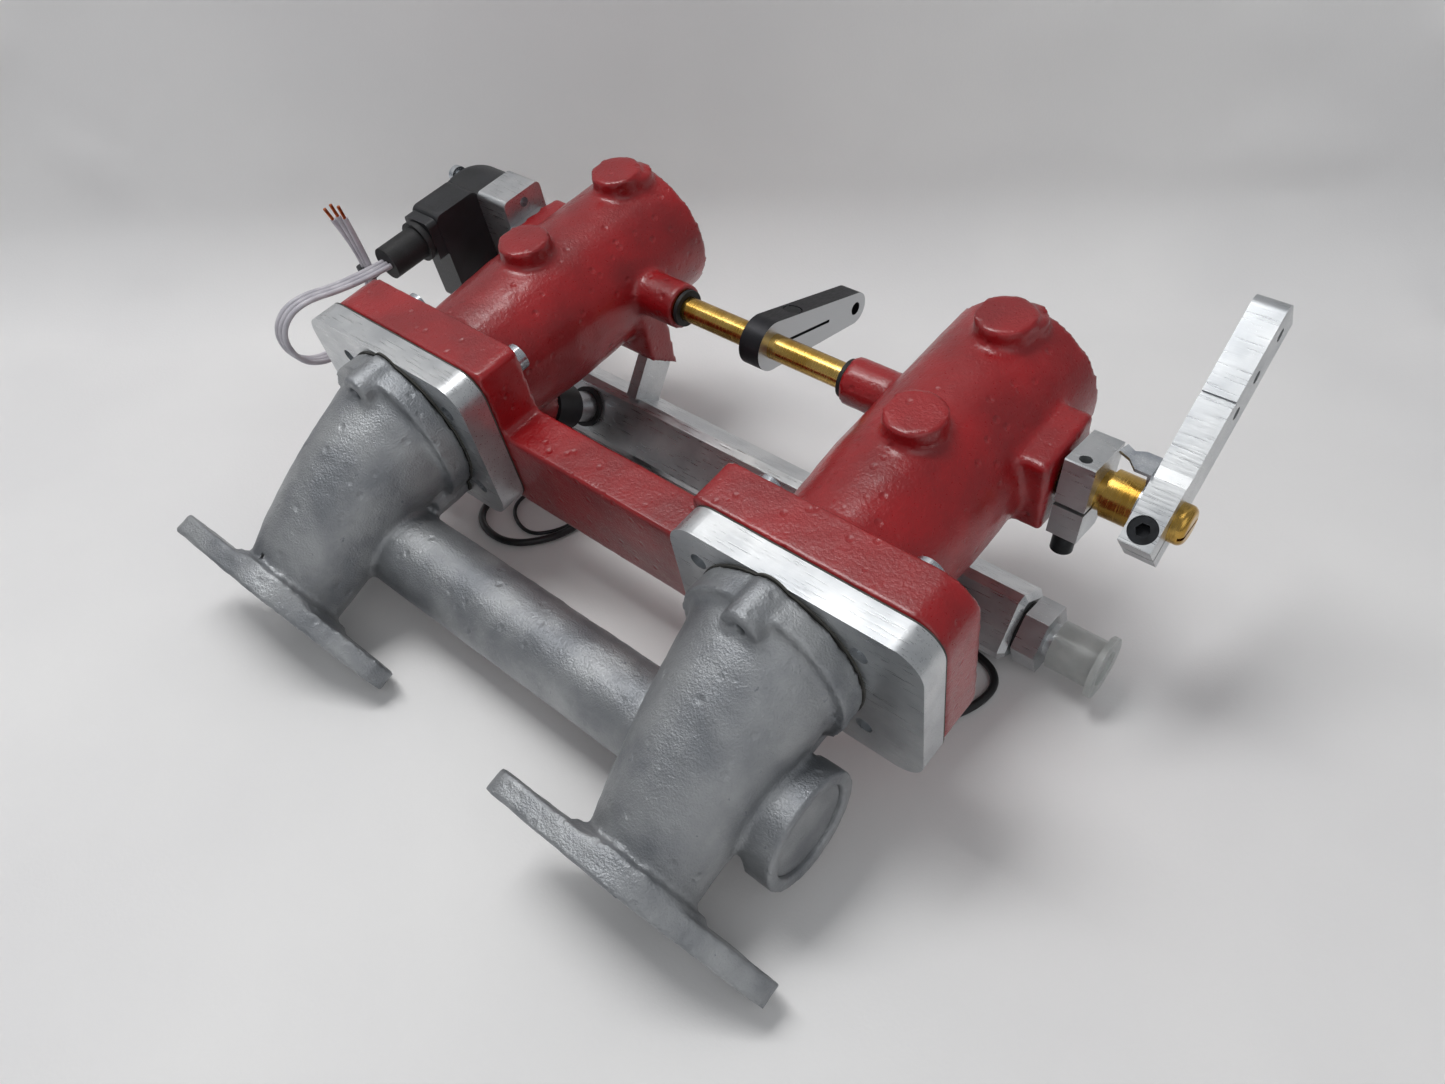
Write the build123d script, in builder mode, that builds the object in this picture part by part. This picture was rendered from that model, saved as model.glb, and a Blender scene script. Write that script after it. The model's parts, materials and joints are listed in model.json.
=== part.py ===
"""Twin-bore intake manifold with throttle bodies, linkage and fuel rail.

The bores lie along the local Y axis of bore_frame: engine flanges towards -Y, air
mouths towards +Y.  The throttle shaft lies along X.  The whole assembly leans by
rest_tilt about X, because it stands on its engine flange lugs and its fuel rail.
All sizes are in millimetres.
"""

import math
import os

from build123d import *

os.makedirs("parts", exist_ok=True)

# ---- placing of the whole assembly ----
rest_tilt = 9.2
bore_centre = (4.45, -27.72, 64.37)

# ---- throttle casting ----
port_x = 85.0
flange_shift = 5.0
flange_x = port_x + flange_shift
flange_width = 86.5
flange_height = 62.0
flange_drop = 1.4
flange_thickness = 17.5
flange_corner = 12.0
tube_length = 122.0
tube_outer_r = 28.2
tube_root_r = 26.2
bore_r = 23.0
horn_seat_r = 24.2
horn_seat_depth = 9.0
bar_top = 2.3
bar_bottom = -33.0
bar_thickness = 17.0
boss_r = 9.9
boss_top = 34.2
boss_spots = (58.3, 108.3)
lobe_r = 7.5
lobe_side = 4.0
lobe_reach = 5.0
lobe_top = 31.5

# ---- throttle shaft line ----
shaft_y = 88.5
shaft_r = 4.76
running_gap = 0.03
bush_r = 6.5
bush_length = 9.0
inner_boss_r = 8.8
inner_boss_reach = 46.5
inner_boss_end = port_x - inner_boss_reach
outer_boss_half = 14.5
outer_boss_reach = 35.2
outer_boss_end = port_x + outer_boss_reach
shaft_right_reach = 70.1
shaft_right_end = port_x + shaft_right_reach
shaft_left_reach = 65.0
shaft_left_end = -port_x - shaft_left_reach
disc_gap = 0.2
disc_thickness = 1.5
throttle_open = 80.0

# ---- adapter plates, gaskets and silver manifold casting ----
gasket_thickness = 0.6
plate_thickness = 10.0
plate_corner = 10.0
adapter_bore_r = 20.5
ring_r = 29.5
ring_thickness = 9.0
runner_start_r = 25.5
runner_end_r = 18.6
runner_bend = (-50.0, -12.5, 26.0)
runner_wall = 4.0
port_tilt = 11.6
port_shift = 1.0
port_y = -89.0
port_z = -29.0
port_flange_thickness = 9.5
port_register_r = 17.5
port_register_depth = 3.0
port_hub_r = 23.0
lug_offset = (38.0, -13.5)
lug_r = 8.5
lug_thickness = 7.7
stud_hole_r = 4.2
ear_offset = (1.0, 25.2)
lower_ear_offset = (13.5, -23.0)
ear_r = 6.6
ear_length = 6.0
ear_thread_r = 2.2
balance_y = -42.8
balance_z = -29.0
balance_r = 15.2
balance_bore_r = 12.0
balance_reach = 33.0
balance_end = port_x + balance_reach
plug_seat_r = 15.0
plug_seat_depth = 7.0
plug_ring_r = 19.8
plug_ring_width = 10.0

# ---- fuel rail ----
rail_tilt = -40.0
rail_y = 70.8
rail_z = -61.5
rail_height = 25.0
rail_depth = 22.0
rail_chamfer = 2.75
rail_overhang = 36.0
rail_half_length = port_x + rail_overhang
rail_bore_r = 6.0
post_inset = 21.3
post_x = port_x - post_inset
post_thickness = 5.2
post_width = 15.6
post_front = -11.0
post_top = 30.5
post_stud_r = 1.9
post_stud_bite = 6.0
pad_inset = 27.5
pad_inner_x = port_x - pad_inset
pad_width = 20.0
injector_seat_r = 6.9
injector_boss_r = 11.5
injector_boss_start = 29.0
rail_cup_r = 7.0
rail_cup_depth = 9.0


# ---- fasteners and small fits ----
screw_gap = 0.02
flange_screw_r = 2.9
flange_screw_head_r = 5.0
flange_screw_head_height = 6.0
flange_screw_key_r = 2.8
ear_screw_r = 2.0
ear_screw_head_r = 3.6
ear_screw_head_height = 2.4
plug_recess = 2.0
disc_screw_r = 1.5
disc_screw_head_r = 2.8
disc_screw_sink = 1.0
seal_thickness = 1.5
seal_r = 7.1
end_screw_r = 2.0
end_screw_length = 8.0
end_head_r = 6.4
end_head_height = 4.6

# ---- levers and clamp on the shaft ----
centre_lever_angle = -19.6
centre_lever_x = -4.2
centre_lever_width = 9.0
centre_head_r = 9.5
centre_tip_r = 6.5
centre_lever_reach = 51.7
centre_slit_end = 34.0
centre_link_r = 2.6
centre_screw_reach = 15.0
centre_screw_r = 1.9
centre_seat_z = 6.2
clamp_angle = -12.7
clamp_reach = 37.0
clamp_x = port_x + clamp_reach
clamp_width = 10.0
clamp_front = -10.8
clamp_back = 8.6
clamp_top = 13.0
clamp_bottom = -15.0
clamp_slit_z = -3.7
clamp_screw_y = -7.3
clamp_screw_r = 2.0
clamp_screw_head_r = 3.6
collar_step = 2.5
collar_step_r = 6.5
collar_r = 7.8
washer_thickness = 1.0
washer_r = 8.2
lever_angle = 29.9
lever_side_reach = 60.0
lever_x = port_x + lever_side_reach
lever_width = 10.1
lever_tail = 13.5
lever_reach = 69.5
lever_head_z = 10.4
lever_face_z = 9.2
lever_back_z = 8.6
lever_groove = 35.5
lever_holes = (36.0, 48.0, 62.0)
lever_hole_z = 0.0
lever_hole_r = 2.1
lever_screw_reach = 8.0
lever_screw_r = 2.4
lever_screw_head_r = 4.3

# ---- rail fittings ----
rail_thread_r = 7.9
rail_thread_depth = 14.0
fitting_flats = 22.0
fitting_turn = 25.0
fitting_hex_length = 8.5
fitting_bore_r = 4.0
nipple_neck_r = 6.2
nipple_r = 7.1
nipple_length = 15.0
cap_wall = 1.5
cap_length = 17.5
cap_rim_width = 2.0
cap_rim_r = 11.2
connector_reach = 17.0

# ---- position sensor ----
sensor_spacer_width = 4.8
bracket_width = 17.0
bracket_screw_r = 2.0
bracket_screw_spots = [(0.0, -9.4), (0.0, 9.4)]
bracket_screw_bite = 8.0
sensor_r = 22.0
sensor_length = 24.0
sensor_screw_r = 2.0
sensor_screw_spots = [(1.6, -18.0), (1.6, 18.0)]
rotor_r = 7.8
rotor_gap = 0.3
boot_z = 14.5
plug_length = 4.5
boot_r = 6.8
boot_length = 19.0

# ---- free wires: routes of straight runs, rounded at their corners ----
sensor_wire_d = 2.2
sensor_wire_pitch = 2.6
sensor_wire_shift = (0.0, -1.0, -4.0, -7.0, -8.0, -8.2, -8.3, -8.4, -8.4, -8.4)
sensor_wire_side = [(35.0, 14.5), (17.0, 16.0), (-5.0, 22.0), (-16.0, 13.0), (-14.0, -4.0), (0.0, -12.0),
                    (16.0, -8.0), (30.0, 4.0), (30.6, 21.5)]
sensor_wire_tips = [(27.2, 36.5), (28.5, 38.0), (29.6, 37.2)]
copper_d = 1.3
copper_length = 5.5
tie_z = 10.0
lead_d = 3.0
thin_wire_d = 1.6
lead_left = [(-83.0, 8.5, 1.6), (-88.0, -10.0, 1.6), (-80.0, -24.5, 1.6), (-60.0, -26.0, 1.6),
             (-47.5, -11.0, 1.6), (-45.5, 7.5, 1.6), (-45.5, 24.0, 1.6)]
thin_left = [(-78.0, 8.1, 0.9), (-77.0, -9.6, 0.9), (-59.5, -16.8, 0.9), (-50.6, -7.5, 0.9),
             (-48.6, 4.5, 0.9), (-51.0, 14.4, 0.9), (-51.0, 24.0, 0.9)]
lead_right = [(89.45, 8.5, 1.6), (103.0, -3.0, 1.6), (118.0, 5.5, 1.6), (126.5, 21.0, 1.6),
              (127.5, 35.0, 1.6), (118.0, 42.0, 1.6), (106.5, 42.0, 1.6)]
lead_exit_dx = {"left": -2.45, "thin": 2.55, "right": 0.0}
lead_plug_height = 5.0


def turned(angle, y, z):
    """The bore frame, moved to (y, z) in its own plane and turned about X."""
    return Plane(bore_frame.location * Location((0, y, z), (angle, 0, 0)))


def level(frame, x=0.0, y=0.0, z=0.0):
    """Sketch plane facing up in a frame: sketch u is X, v is Y."""
    return Plane(origin=frame.from_local_coords((x, y, z)), x_dir=frame.x_dir, z_dir=frame.z_dir)


def front(frame, x=0.0, y=0.0, z=0.0):
    """Sketch plane facing the engine in a frame: sketch u is X, v is up."""
    return Plane(origin=frame.from_local_coords((x, y, z)), x_dir=frame.x_dir, z_dir=-frame.y_dir)


def side(frame, x=0.0, y=0.0, z=0.0):
    """Sketch plane facing +X in a frame: sketch u is Y, v is up."""
    return Plane(origin=frame.from_local_coords((x, y, z)), x_dir=frame.y_dir, z_dir=frame.x_dir)


def save(name, builder, colour):
    """Label a finished piece and write it as one STEP file."""
    builder.part.label = name
    builder.part.color = Color(*colour)
    export_step(builder.part, f"parts/{name}.step")


bore_frame = Plane(origin=bore_centre, x_dir=(1, 0, 0),
                   z_dir=(0, -math.sin(math.radians(rest_tilt)), math.cos(math.radians(rest_tilt))))
port_frame = turned(port_tilt, port_y, port_z)
rail_frame = turned(rail_tilt, rail_y, rail_z)
sides = (-1, 1)

red = (0.62, 0.04, 0.06)
silver = (0.62, 0.63, 0.65)
machined = (0.75, 0.76, 0.77)
brass_colour = (0.72, 0.53, 0.22)
black = (0.03, 0.03, 0.035)
zinc = (0.8, 0.82, 0.84)
paper = (0.35, 0.33, 0.3)

# Distances along the bores, worked out from the stack of plates and gaskets.
plate_back = -gasket_thickness
plate_front = plate_back - plate_thickness
ring_back = plate_front - gasket_thickness
ring_front = ring_back - ring_thickness
flange_screw_spots = [(dx, dz - flange_drop) for dx in (-33.0, 23.0) for dz in (-18.5, 18.5)]


# ---- throttle casting: flanges, bar, tubes and every boss in one red casting ----
def flange_outline(hand):
    """Flange plate outline: rounded outer corners, small inner corners."""
    with BuildSketch(front(bore_frame)) as outline:
        with Locations((hand * flange_x, -flange_drop)):
            Rectangle(flange_width, flange_height)
        outer = outline.vertices().sort_by(Axis.X)[-2:] if hand > 0 else outline.vertices().sort_by(Axis.X)[:2]
        fillet(outer, flange_corner)
        inner = outline.vertices().sort_by(Axis.X)[:2] if hand > 0 else outline.vertices().sort_by(Axis.X)[-2:]
        fillet(inner, 3.0)
    return outline


def tube_profile(hand):
    """Half section of one throttle tube, slimmer at its root."""
    with BuildSketch(level(bore_frame, x=hand * port_x)) as profile:
        with BuildLine():
            root = Line((0, 0), (tube_root_r, 0))
            up = Line(root @ 1, (tube_root_r, flange_thickness))
            flare = TangentArc((up @ 1), (tube_outer_r, 50.0), tangent=(0.05, 1.0))
            wall = Line(flare @ 1, (tube_outer_r, tube_length))
            mouth = Line(wall @ 1, (0, tube_length))
            Line(mouth @ 1, root @ 0)
        make_face()
    return profile


with BuildPart() as throttle_casting:
    for hand in sides:
        outline = flange_outline(hand)
        extrude(outline.sketch, amount=-flange_thickness)
        profile = tube_profile(hand)
        bore_axis = Axis(bore_frame.from_local_coords((hand * port_x, 0, 0)), bore_frame.y_dir)
        revolve(profile.sketch, axis=bore_axis)
    with BuildSketch(front(bore_frame)):
        with Locations((0, (bar_top + bar_bottom) / 2)):
            Rectangle(2 * flange_x - flange_width + 6, bar_top - bar_bottom)
    extrude(amount=-bar_thickness)
    # Flat-topped bosses, and the lobe behind the rear ones.
    for hand in sides:
        with BuildSketch(level(bore_frame, x=hand * port_x)):
            for spot in boss_spots:
                with Locations((0, spot)):
                    Circle(boss_r)
        extrude(amount=boss_top)
        with BuildSketch(level(bore_frame, x=hand * port_x + lobe_side)):
            with Locations((0, boss_spots[1] + lobe_reach)):
                Circle(lobe_r)
        extrude(amount=lobe_top)
        # Shaft bosses: round inside, square outside.
        with BuildSketch(side(bore_frame, x=hand * port_x, y=shaft_y)):
            Circle(inner_boss_r)
        extrude(amount=-hand * (port_x - inner_boss_end))
        with BuildSketch(side(bore_frame, x=hand * port_x, y=shaft_y)):
            RectangleRounded(2 * outer_boss_half, 2 * outer_boss_half, 2.0)
        extrude(amount=hand * (outer_boss_end - port_x))
    # Pads under the shaft bosses that carry the rail posts.
    pad_foot = rail_frame.from_local_coords((0, post_front - 0.6, post_top))
    pad_heel = rail_frame.from_local_coords((0, post_front + post_width + 0.6, post_top))
    foot = bore_frame.to_local_coords(pad_foot)
    heel = bore_frame.to_local_coords(pad_heel)
    for hand in sides:
        with BuildSketch(side(bore_frame, x=hand * pad_inner_x)):
            with BuildLine():
                Polyline((foot.Y, foot.Z), (heel.Y, heel.Z), (heel.Y, 0), (foot.Y, 0), close=True)
            make_face()
        extrude(amount=hand * pad_width)
        # Injector boss under each tube.
        injector_line = front(rail_frame, x=hand * port_x, y=-rail_depth / 2)
        with BuildSketch(injector_line.offset(injector_boss_start)):
            Circle(injector_boss_r)
        extrude(amount=22.0)
    # The bores, cut last so that nothing stands inside them.
    for hand in sides:
        with BuildSketch(front(bore_frame, x=hand * port_x)):
            Circle(bore_r)
        extrude(amount=-tube_length, mode=Mode.SUBTRACT)
        with BuildSketch(front(bore_frame, x=hand * port_x, y=tube_length)):
            Circle(horn_seat_r)
        extrude(amount=horn_seat_depth, mode=Mode.SUBTRACT)
        injector_line = front(rail_frame, x=hand * port_x, y=-rail_depth / 2)
        with BuildSketch(injector_line.offset(injector_boss_start)):
            Circle(injector_seat_r)
        extrude(amount=30.0, mode=Mode.SUBTRACT)
        with BuildSketch(front(bore_frame, x=hand * flange_x)):
            with Locations(*[(hand * dx, dz) for dx, dz in flange_screw_spots]):
                Circle(3.2)
        extrude(amount=-flange_thickness, mode=Mode.SUBTRACT)
        with BuildSketch(side(bore_frame, x=hand * outer_boss_end, y=shaft_y)):
            Circle(bush_r)
        extrude(amount=-hand * bush_length, mode=Mode.SUBTRACT)
        with BuildSketch(side(bore_frame, x=hand * inner_boss_end, y=shaft_y)):
            Circle(bush_r)
        extrude(amount=hand * bush_length, mode=Mode.SUBTRACT)
    with BuildSketch(side(bore_frame, x=-outer_boss_end, y=shaft_y)):
        Circle(shaft_r + 0.4)
    extrude(amount=2 * outer_boss_end, mode=Mode.SUBTRACT)
    # Blind holes for the sensor bracket screws and the post studs.
    with BuildSketch(side(bore_frame, x=-outer_boss_end, y=shaft_y)):
        with Locations(*bracket_screw_spots):
            Circle(bracket_screw_r + screw_gap)
    extrude(amount=bracket_screw_bite, mode=Mode.SUBTRACT)
    for hand in sides:
        with BuildSketch(level(rail_frame, x=hand * post_x, y=post_front + post_width / 2, z=post_top)):
            Circle(post_stud_r + screw_gap)
        extrude(amount=post_stud_bite, mode=Mode.SUBTRACT)
save("throttle_casting", throttle_casting, red)


# ---- adapter plates and the gaskets on both faces of them ----
def plate_body(hand, thickness, back, hole_r, opening_r, front_opening_r):
    """A flat plate with the flange outline, four screw holes and its opening."""
    with BuildPart() as body:
        with BuildSketch(front(bore_frame, y=back)):
            with Locations((hand * flange_x, -flange_drop)):
                RectangleRounded(flange_width, flange_height, plate_corner)
            with Locations(*[(hand * (flange_x + dx), dz) for dx, dz in flange_screw_spots]):
                Circle(hole_r, mode=Mode.SUBTRACT)
        extrude(amount=thickness)
        with BuildSketch(front(bore_frame, x=hand * port_x, y=back)):
            Circle(opening_r)
        with BuildSketch(front(bore_frame, x=hand * port_x, y=back - thickness)):
            Circle(front_opening_r)
        loft(mode=Mode.SUBTRACT)
    return body.part


def ear_places(hand):
    """Sketch points of the two ears of one ring flange, seen from the engine."""
    return [(hand * port_x + ear_offset[0], ear_offset[1]),
            (hand * port_x + lower_ear_offset[0], lower_ear_offset[1])]


for hand, name in ((-1, "adapter_plate_left"), (1, "adapter_plate_right")):
    blank = plate_body(hand, plate_thickness, plate_back, flange_screw_r + screw_gap, bore_r - 2.6, adapter_bore_r)
    with BuildPart() as adapter_plate:
        add(blank)
        with BuildSketch(front(bore_frame, y=plate_front)):
            with Locations(*ear_places(hand)):
                Circle(ear_screw_r + 0.25)
        extrude(amount=-plate_thickness, mode=Mode.SUBTRACT)
        with BuildSketch(front(bore_frame, y=plate_back)):
            with Locations(*ear_places(hand)):
                Circle(ear_screw_head_r + 0.1)
        extrude(amount=ear_screw_head_height + 0.1, mode=Mode.SUBTRACT)
    save(name, adapter_plate, machined)

gasket_blanks = [plate_body(hand, gasket_thickness, 0, flange_screw_r + 0.2, bore_r, bore_r) for hand in sides]
with BuildPart() as plate_gaskets:
    add(gasket_blanks)
save("plate_gaskets", plate_gaskets, paper)


def ring_outline(hand):
    """Ring flange outline with its upper and lower ears, seen from the engine."""
    with BuildSketch(Plane.XY) as outline:
        with Locations((hand * port_x, 0)):
            Circle(ring_r)
        with Locations(*ear_places(hand)):
            Circle(ear_r)
        with Locations((hand * port_x, 0)):
            Circle(adapter_bore_r, mode=Mode.SUBTRACT)
    return outline


with BuildPart() as ring_gaskets:
    for hand in sides:
        with BuildSketch(front(bore_frame, y=plate_front)):
            add(ring_outline(hand).sketch)
            with Locations(*ear_places(hand)):
                Circle(ear_screw_r + 0.25, mode=Mode.SUBTRACT)
        extrude(amount=gasket_thickness)
save("ring_gaskets", ring_gaskets, paper)


# ---- silver manifold casting: two runners joined by the balance tube ----
def runner_body(hand, start_y, start_r, bend_r, end_y, end_r):
    """One runner shape as a loft of three circles, from the ring to the engine flange."""
    bend_y, bend_z, bend_angle = runner_bend
    bend_frame = turned(bend_angle, bend_y, bend_z)
    with BuildPart() as body:
        with BuildSketch(front(bore_frame, x=hand * port_x, y=start_y)):
            Circle(start_r)
        with BuildSketch(front(bend_frame, x=hand * (port_x + port_shift / 2))):
            Circle(bend_r)
        with BuildSketch(front(port_frame, x=hand * (port_x + port_shift), y=end_y)):
            Circle(end_r)
        loft()
    return body.part


runner_mid_r = (runner_start_r + runner_end_r) / 2 + 0.4
runner_skins = [runner_body(hand, ring_front + 0.5, runner_start_r, runner_mid_r,
                            port_flange_thickness - 0.5, runner_end_r) for hand in sides]
runner_hollows = [runner_body(hand, ring_back + 0.5, adapter_bore_r, runner_mid_r - runner_wall,
                              -0.5, runner_end_r - runner_wall) for hand in sides]
balance_frame = turned(0, balance_y, balance_z)
with BuildPart() as manifold_casting:
    for hand in sides:
        with BuildSketch(front(bore_frame, y=ring_back)):
            add(ring_outline(hand).sketch)
        extrude(amount=ring_thickness)
        with BuildSketch(front(bore_frame, y=ring_front + 1)):
            with Locations(*ear_places(hand)):
                Circle(ear_r)
        extrude(amount=ear_length + 1)
        with BuildSketch(front(port_frame)) as lens:
            with Locations((hand * (port_x + port_shift), 0)):
                Circle(port_hub_r)
            for turn in sides:
                with Locations((hand * (port_x + port_shift) + turn * lug_offset[0], turn * lug_offset[1])):
                    Circle(lug_r)
            make_hull()
        extrude(amount=-lug_thickness)
        with BuildSketch(front(port_frame, x=hand * (port_x + port_shift))):
            Circle(port_hub_r)
        extrude(amount=-port_flange_thickness)
        # Thick ring around the open end of the balance tube.
        with BuildSketch(side(balance_frame, x=hand * balance_end)):
            Circle(plug_ring_r)
        extrude(amount=-hand * plug_ring_width)
    with BuildSketch(side(balance_frame, x=-balance_end)):
        Circle(balance_r)
    extrude(amount=2 * balance_end)
    add(runner_skins)
    # Openings: balance tube, plug seats, runners, register and fastening holes.
    with BuildSketch(side(balance_frame, x=-balance_end)):
        Circle(balance_bore_r)
    extrude(amount=2 * balance_end, mode=Mode.SUBTRACT)
    for hand in sides:
        with BuildSketch(front(port_frame, x=hand * (port_x + port_shift))):
            Circle(port_register_r)
        extrude(amount=-port_register_depth, mode=Mode.SUBTRACT)
    add(runner_hollows, mode=Mode.SUBTRACT)
    for hand in sides:
        with BuildSketch(side(balance_frame, x=hand * balance_end)):
            Circle(plug_seat_r)
        extrude(amount=-hand * plug_seat_depth, mode=Mode.SUBTRACT)
        with BuildSketch(front(port_frame)):
            for turn in sides:
                with Locations((hand * (port_x + port_shift) + turn * lug_offset[0], turn * lug_offset[1])):
                    Circle(stud_hole_r)
        extrude(amount=-port_flange_thickness, mode=Mode.SUBTRACT)
        with BuildSketch(front(bore_frame, y=ring_back)):
            with Locations(*ear_places(hand)):
                Circle(ear_screw_r + screw_gap)
        extrude(amount=ring_thickness + ear_length, mode=Mode.SUBTRACT)
save("manifold_casting", manifold_casting, silver)

with BuildPart() as balance_plugs:
    for hand in sides:
        with BuildSketch(side(balance_frame, x=hand * (balance_end - plug_recess))):
            Circle(plug_seat_r - screw_gap)
        extrude(amount=-hand * (plug_seat_depth - plug_recess))
save("balance_plugs", balance_plugs, silver)

# ---- screws through the flanges and the ears ----
with BuildPart() as flange_screws:
    for hand in sides:
        places = [(hand * (flange_x + dx), dz) for dx, dz in flange_screw_spots]
        with BuildSketch(front(bore_frame, y=flange_thickness)):
            with Locations(*places):
                Circle(flange_screw_head_r)
        extrude(amount=-flange_screw_head_height)
        with BuildSketch(front(bore_frame, y=flange_thickness)):
            with Locations(*places):
                Circle(flange_screw_r)
        extrude(amount=flange_thickness + gasket_thickness + plate_thickness - 2.5)
        with BuildSketch(front(bore_frame, y=flange_thickness + flange_screw_head_height)):
            with Locations(*places):
                RegularPolygon(flange_screw_key_r, 6)
        extrude(amount=3.0, mode=Mode.SUBTRACT)
save("flange_screws", flange_screws, zinc)

with BuildPart() as ear_screws:
    for hand in sides:
        with BuildSketch(front(bore_frame, y=plate_back)):
            with Locations(*ear_places(hand)):
                Circle(ear_screw_head_r)
        extrude(amount=ear_screw_head_height)
        with BuildSketch(front(bore_frame, y=plate_back)):
            with Locations(*ear_places(hand)):
                Circle(ear_screw_r)
        extrude(amount=plate_thickness + gasket_thickness + ring_thickness + ear_length - 4.0)
        with BuildSketch(front(bore_frame, y=plate_back)):
            with Locations(*ear_places(hand)):
                RegularPolygon(1.6, 6)
        extrude(amount=2.0, mode=Mode.SUBTRACT)
save("ear_screws", ear_screws, zinc)

# ---- throttle shaft, discs, bushes and seals ----
shaft_frame = turned(0, shaft_y, 0)
disc_screw_dx = (-11.0, 11.0)
with BuildPart() as throttle_shaft:
    with BuildSketch(side(shaft_frame, x=shaft_left_end)):
        Circle(shaft_r)
    extrude(amount=shaft_right_end - shaft_left_end)
    for hand in sides:
        with BuildSketch(front(shaft_frame, x=hand * port_x, y=-disc_thickness / 2 - 0.01)):
            Rectangle(2 * bore_r + 0.4, 2 * shaft_r + 1)
        extrude(amount=-(disc_thickness + 0.02), mode=Mode.SUBTRACT)
        with BuildSketch(front(shaft_frame, x=hand * port_x, y=-shaft_r)):
            with Locations(*[(dx, 0) for dx in disc_screw_dx]):
                Circle(disc_screw_r + screw_gap)
        extrude(amount=-2 * shaft_r, mode=Mode.SUBTRACT)
        with BuildSketch(front(shaft_frame, x=hand * port_x, y=-shaft_r + disc_screw_sink)):
            with Locations(*[(dx, 0) for dx in disc_screw_dx]):
                Circle(disc_screw_head_r + screw_gap)
        extrude(amount=3.0, mode=Mode.SUBTRACT)
    with BuildSketch(side(shaft_frame, x=shaft_right_end)):
        Circle(end_screw_r + screw_gap)
    extrude(amount=-end_screw_length, mode=Mode.SUBTRACT)
save("throttle_shaft", throttle_shaft, brass_colour)

for hand, name in ((-1, "throttle_disc_left"), (1, "throttle_disc_right")):
    with BuildPart() as throttle_disc:
        with BuildSketch(front(shaft_frame, x=hand * port_x, y=-disc_thickness / 2)):
            Circle(bore_r - disc_gap)
            with Locations(*[(dx, 0) for dx in disc_screw_dx]):
                Circle(disc_screw_r + screw_gap, mode=Mode.SUBTRACT)
        extrude(amount=-disc_thickness)
    save(name, throttle_disc, brass_colour)

with BuildPart() as disc_screws:
    for hand in sides:
        places = [(hand * port_x + dx, 0) for dx in disc_screw_dx]
        with BuildSketch(front(shaft_frame, y=-shaft_r + disc_screw_sink)):
            with Locations(*places):
                Circle(disc_screw_head_r)
        extrude(amount=disc_screw_sink + 0.8)
        with BuildSketch(front(shaft_frame, y=-shaft_r)):
            with Locations(*places):
                Circle(disc_screw_r)
        extrude(amount=-2 * shaft_r)
save("disc_screws", disc_screws, machined)

with BuildPart() as shaft_bushes:
    for hand in sides:
        for face, inward in ((outer_boss_end, -1), (inner_boss_end, 1)):
            with BuildSketch(side(shaft_frame, x=hand * face)):
                Circle(bush_r - screw_gap)
                Circle(shaft_r + running_gap, mode=Mode.SUBTRACT)
            extrude(amount=hand * inward * bush_length)
save("shaft_bushes", shaft_bushes, brass_colour)

with BuildPart() as shaft_seals:
    for hand in sides:
        for face, outward in ((outer_boss_end, 1), (inner_boss_end, -1)):
            with BuildSketch(side(shaft_frame, x=hand * face)):
                Circle(seal_r)
                Circle(shaft_r + 0.1, mode=Mode.SUBTRACT)
            extrude(amount=hand * outward * seal_thickness)
save("shaft_seals", shaft_seals, black)

# ---- centre lever: split clamp on the shaft with a link hole at its tip ----
centre_frame = turned(centre_lever_angle, shaft_y, 0)
with BuildPart() as centre_lever:
    with BuildSketch(side(centre_frame, x=centre_lever_x)):
        Circle(centre_head_r)
        with Locations((centre_lever_reach, 0)):
            Circle(centre_tip_r)
        make_hull()
        Circle(shaft_r + 0.01, mode=Mode.SUBTRACT)
        with Locations((centre_slit_end / 2, 0)):
            Rectangle(centre_slit_end, 1.2, mode=Mode.SUBTRACT)
        with Locations((centre_lever_reach, 0)):
            Circle(centre_link_r, mode=Mode.SUBTRACT)
    extrude(amount=centre_lever_width)
    with BuildSketch(level(centre_frame, x=centre_lever_x + centre_lever_width / 2, y=centre_screw_reach, z=12)):
        Circle(centre_screw_r + screw_gap)
    extrude(amount=-24, mode=Mode.SUBTRACT)
    with BuildSketch(level(centre_frame, x=centre_lever_x + centre_lever_width / 2, y=centre_screw_reach,
                           z=centre_seat_z)):
        Circle(centre_screw_r + 1.9)
    extrude(amount=8, mode=Mode.SUBTRACT)
save("centre_lever", centre_lever, black)

with BuildPart() as centre_lever_screw:
    with BuildSketch(level(centre_frame, x=centre_lever_x + centre_lever_width / 2, y=centre_screw_reach,
                           z=centre_seat_z)):
        Circle(centre_screw_r + 1.8)
    extrude(amount=2.2)
    chamfer(centre_lever_screw.edges().group_by(Axis.Z)[-1], 0.5)
    with BuildSketch(level(centre_frame, x=centre_lever_x + centre_lever_width / 2, y=centre_screw_reach,
                           z=centre_seat_z)):
        Circle(centre_screw_r)
    extrude(amount=-11)
save("centre_lever_screw", centre_lever_screw, black)

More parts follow.
